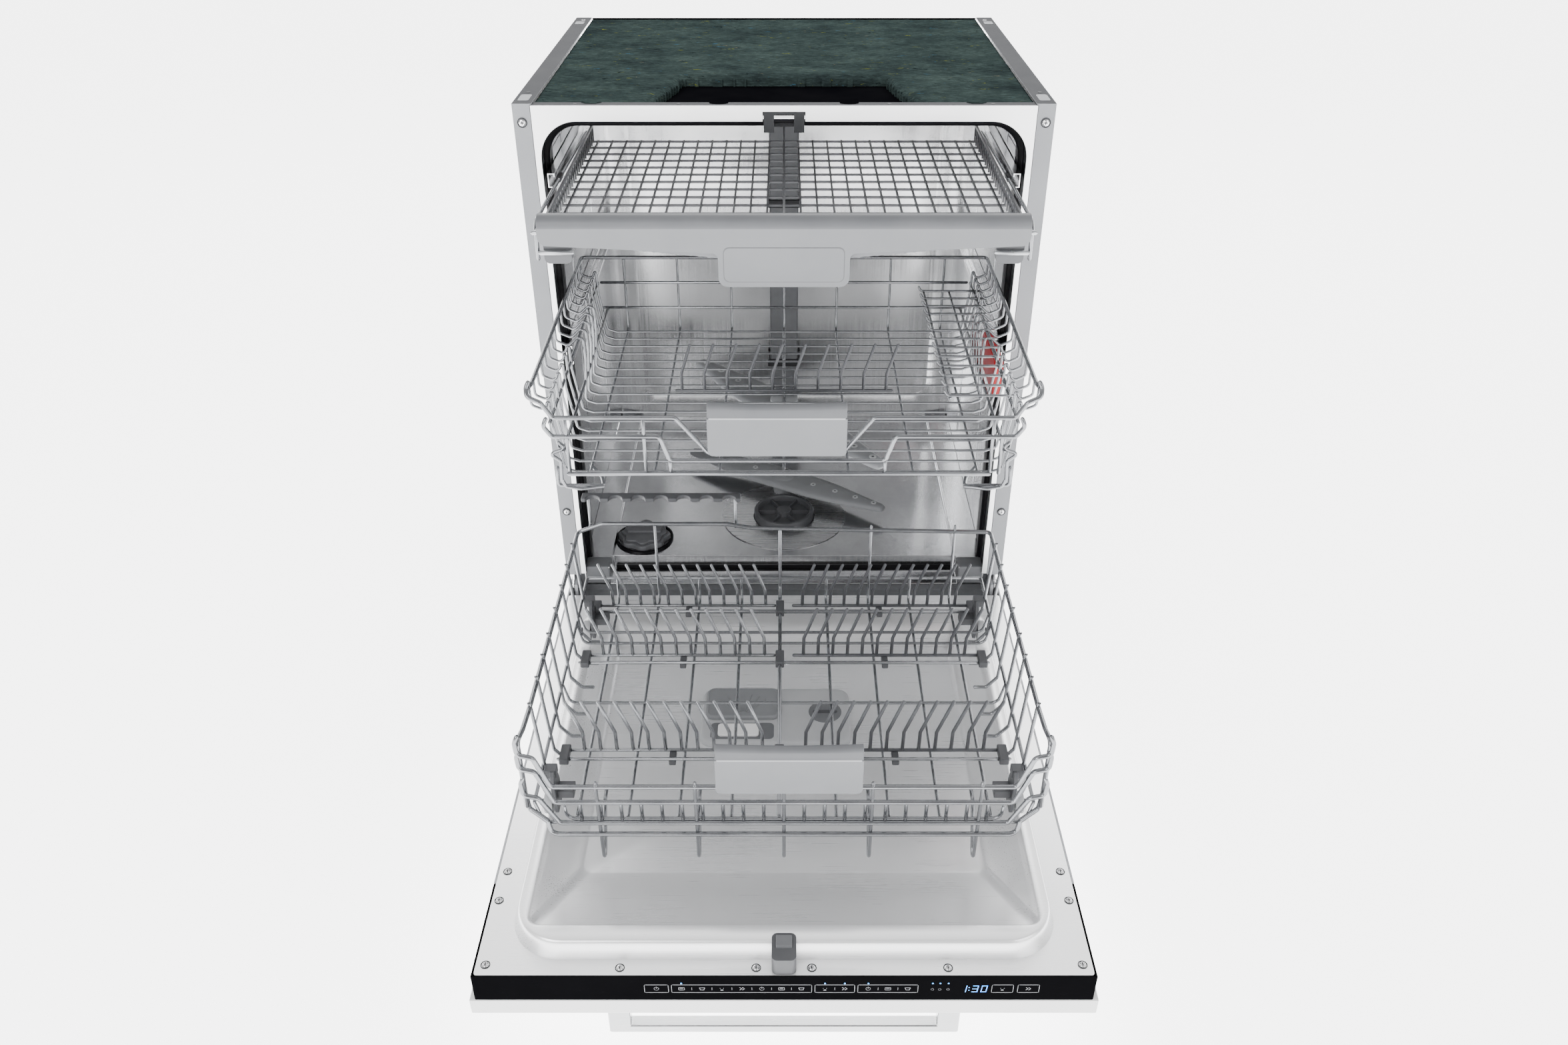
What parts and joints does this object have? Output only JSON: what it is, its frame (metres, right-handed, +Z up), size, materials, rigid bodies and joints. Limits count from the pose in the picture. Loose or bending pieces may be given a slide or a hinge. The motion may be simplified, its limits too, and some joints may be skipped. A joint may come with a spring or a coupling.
{
  "type": "built-in dishwasher",
  "caption": "Built-in dishwasher with its door open flat and cutlery tray, middle and lower wire racks pulled out.",
  "frame": {"origin": "on the floor, under the middle of the whole machine with its door open", "axes": "+Z up, the front and the open door towards -Y, +X to the right seen from the front"},
  "size_m": [0.608, 1.1484, 0.815],
  "materials": {
    "painted_grey": "satin grey paint",
    "stainless": "brushed",
    "rubber": "glossy black",
    "felt": "matted green-grey flecked fibre",
    "grey_plastic": "matte",
    "dark_plastic": "matte",
    "black_gloss": "glossy black",
    "white_panel": "satin white lacquer on board",
    "coated_wire": "grey nylon coating",
    "red_plastic": "glossy red"
  },
  "bodies": {
    "cabinet": {"left_side_panel": "painted_grey", "right_side_panel": "painted_grey", "hinge_bracket_left": "painted_grey", "hinge_bracket_right": "painted_grey", "door_spring_left": "painted_grey", "door_spring_right": "painted_grey", "front_fascia": "stainless", "tub_wrapper": "stainless", "tub_rear_wall": "stainless", "tub_floor": "stainless", "middle_rail_left": "stainless", "middle_rail_right": "stainless", "third_rail_left": "stainless", "third_rail_right": "stainless", "door_gasket": "rubber", "lower_seal": "rubber", "top_felt": "felt", "latch_strike": "dark_plastic", "base_frame": "dark_plastic", "levelling_foot_front_left": "dark_plastic", "levelling_foot_front_right": "dark_plastic", "levelling_foot_rear_left": "dark_plastic", "levelling_foot_rear_right": "dark_plastic", "sump": "dark_plastic", "circulation_pump": "dark_plastic", "drain_pump": "dark_plastic", "water_duct": "grey_plastic", "softener_tank": "grey_plastic", "inlet_valve": "grey_plastic"},
    "filter": {"filter_cup": "grey_plastic"},
    "salt_cap": {"salt_cap": "dark_plastic"},
    "lower_arm": {"lower_spray_arm": "grey_plastic"},
    "door": {"door_inner_panel": "stainless", "door_outer_panel": "painted_grey", "decor_panel": "white_panel", "control_panel": "black_gloss", "door_handle": "stainless", "latch_hook": "grey_plastic", "dispenser_body": "grey_plastic"},
    "dispenser_lid": {"dispenser_lid": "grey_plastic"},
    "lower_rack": {"lower_basket_floor": "coated_wire", "lower_basket_wall": "coated_wire", "lower_handle": "grey_plastic"},
    "wheel_front_left": {"rack_wheel_front_left": "dark_plastic"},
    "wheel_front_right": {"rack_wheel_front_right": "dark_plastic"},
    "wheel_rear_left": {"rack_wheel_rear_left": "dark_plastic"},
    "wheel_rear_right": {"rack_wheel_rear_right": "dark_plastic"},
    "lower_tines_front": {"lower_tines_front": "dark_plastic"},
    "lower_tines_rear": {"lower_tines_rear": "dark_plastic"},
    "middle_slide": {"middle_carrier_left": "stainless", "middle_carrier_right": "stainless"},
    "middle_rack": {"middle_basket_floor": "coated_wire", "middle_basket_wall": "coated_wire", "middle_handle": "grey_plastic"},
    "middle_tines": {"middle_tines": "coated_wire"},
    "cup_shelf": {"cup_shelf": "coated_wire"},
    "height_lever": {"height_lever": "red_plastic"},
    "middle_arm": {"middle_spray_arm": "grey_plastic"},
    "third_rack": {"third_tray": "coated_wire", "third_front_bar": "grey_plastic"}
  },
  "joints": [
    {"name": "door_hinge", "type": "hinge", "parent": "cabinet", "child": "door", "pos_m": [0, 0.06675, 0.168], "axis": [1, 0, 0], "range_deg": [-1.5, 0]},
    {"name": "filter_twist", "type": "hinge", "parent": "cabinet", "child": "filter", "pos_m": [0, 0.21675, 0.15], "axis": [0, 0, 1], "range_deg": [0, 60]},
    {"name": "salt_cap_turn", "type": "hinge", "parent": "cabinet", "child": "salt_cap", "pos_m": [-0.2, 0.15675, 0.19], "axis": [0, 0, 1], "range_deg": [0, 180]},
    {"name": "lower_arm_spin", "type": "hinge", "parent": "cabinet", "child": "lower_arm", "pos_m": [0, 0.29175, 0.2065], "axis": [0, 0, 1], "continuous": true},
    {"name": "dispenser_lid_slide", "type": "slide", "parent": "door", "child": "dispenser_lid", "axis": [1, 0, 0], "range_m": [0, 0.075]},
    {"name": "lower_rack_slide", "type": "slide", "parent": "cabinet", "child": "lower_rack", "axis": [0, 1, 0], "range_m": [0, 0.532]},
    {"name": "lower_tines_front_fold", "type": "hinge", "parent": "lower_rack", "child": "lower_tines_front", "pos_m": [0, -0.33325, 0.232], "axis": [1, 0, 0], "range_deg": [-80, 0]},
    {"name": "lower_tines_rear_fold", "type": "hinge", "parent": "lower_rack", "child": "lower_tines_rear", "pos_m": [0, -0.16825, 0.232], "axis": [1, 0, 0], "range_deg": [-80, 0]},
    {"name": "middle_rack_slide", "type": "slide", "parent": "cabinet", "child": "middle_slide", "axis": [0, 1, 0], "range_m": [0, 0.302]},
    {"name": "middle_rack_height", "type": "slide", "parent": "middle_slide", "child": "middle_rack", "axis": [0, 0, 1], "range_m": [0, 0.04]},
    {"name": "middle_tines_fold", "type": "hinge", "parent": "middle_rack", "child": "middle_tines", "pos_m": [0, -0.01325, 0.507], "axis": [1, 0, 0], "range_deg": [-80, 0]},
    {"name": "cup_shelf_fold", "type": "hinge", "parent": "middle_rack", "child": "cup_shelf", "pos_m": [0.246, 0.06675, 0.568], "axis": [0, 1, 0], "range_deg": [0, 80]},
    {"name": "height_lever_press", "type": "hinge", "parent": "middle_rack", "child": "height_lever", "pos_m": [0.245, 0.00475, 0.514], "axis": [0, 1, 0], "range_deg": [-15, 0]},
    {"name": "middle_arm_spin", "type": "hinge", "parent": "middle_rack", "child": "middle_arm", "pos_m": [0, -0.01325, 0.482], "axis": [0, 0, 1], "continuous": true},
    {"name": "third_rack_slide", "type": "slide", "parent": "cabinet", "child": "third_rack", "axis": [0, 1, 0], "range_m": [0, 0.194]},
    {"name": "wheel_front_left_roll", "type": "hinge", "parent": "lower_rack", "child": "wheel_front_left", "pos_m": [0, -0.38825, 0.2103], "axis": [1, 0, 0], "range_deg": [-2600, 10]},
    {"name": "wheel_front_right_roll", "type": "hinge", "parent": "lower_rack", "child": "wheel_front_right", "pos_m": [0, -0.38825, 0.2103], "axis": [1, 0, 0], "range_deg": [-2600, 10]},
    {"name": "wheel_rear_left_roll", "type": "hinge", "parent": "lower_rack", "child": "wheel_rear_left", "pos_m": [0, -0.08825, 0.2103], "axis": [1, 0, 0], "range_deg": [-2600, 10]},
    {"name": "wheel_rear_right_roll", "type": "hinge", "parent": "lower_rack", "child": "wheel_rear_right", "pos_m": [0, -0.08825, 0.2103], "axis": [1, 0, 0], "range_deg": [-2600, 10]}
  ],
  "couplings": [
    {"joint": "wheel_front_left_roll", "follows": "lower_rack_slide", "rad_per_m": -83.333},
    {"joint": "wheel_front_right_roll", "follows": "lower_rack_slide", "rad_per_m": -83.333},
    {"joint": "wheel_rear_left_roll", "follows": "lower_rack_slide", "rad_per_m": -83.333},
    {"joint": "wheel_rear_right_roll", "follows": "lower_rack_slide", "rad_per_m": -83.333}
  ]
}
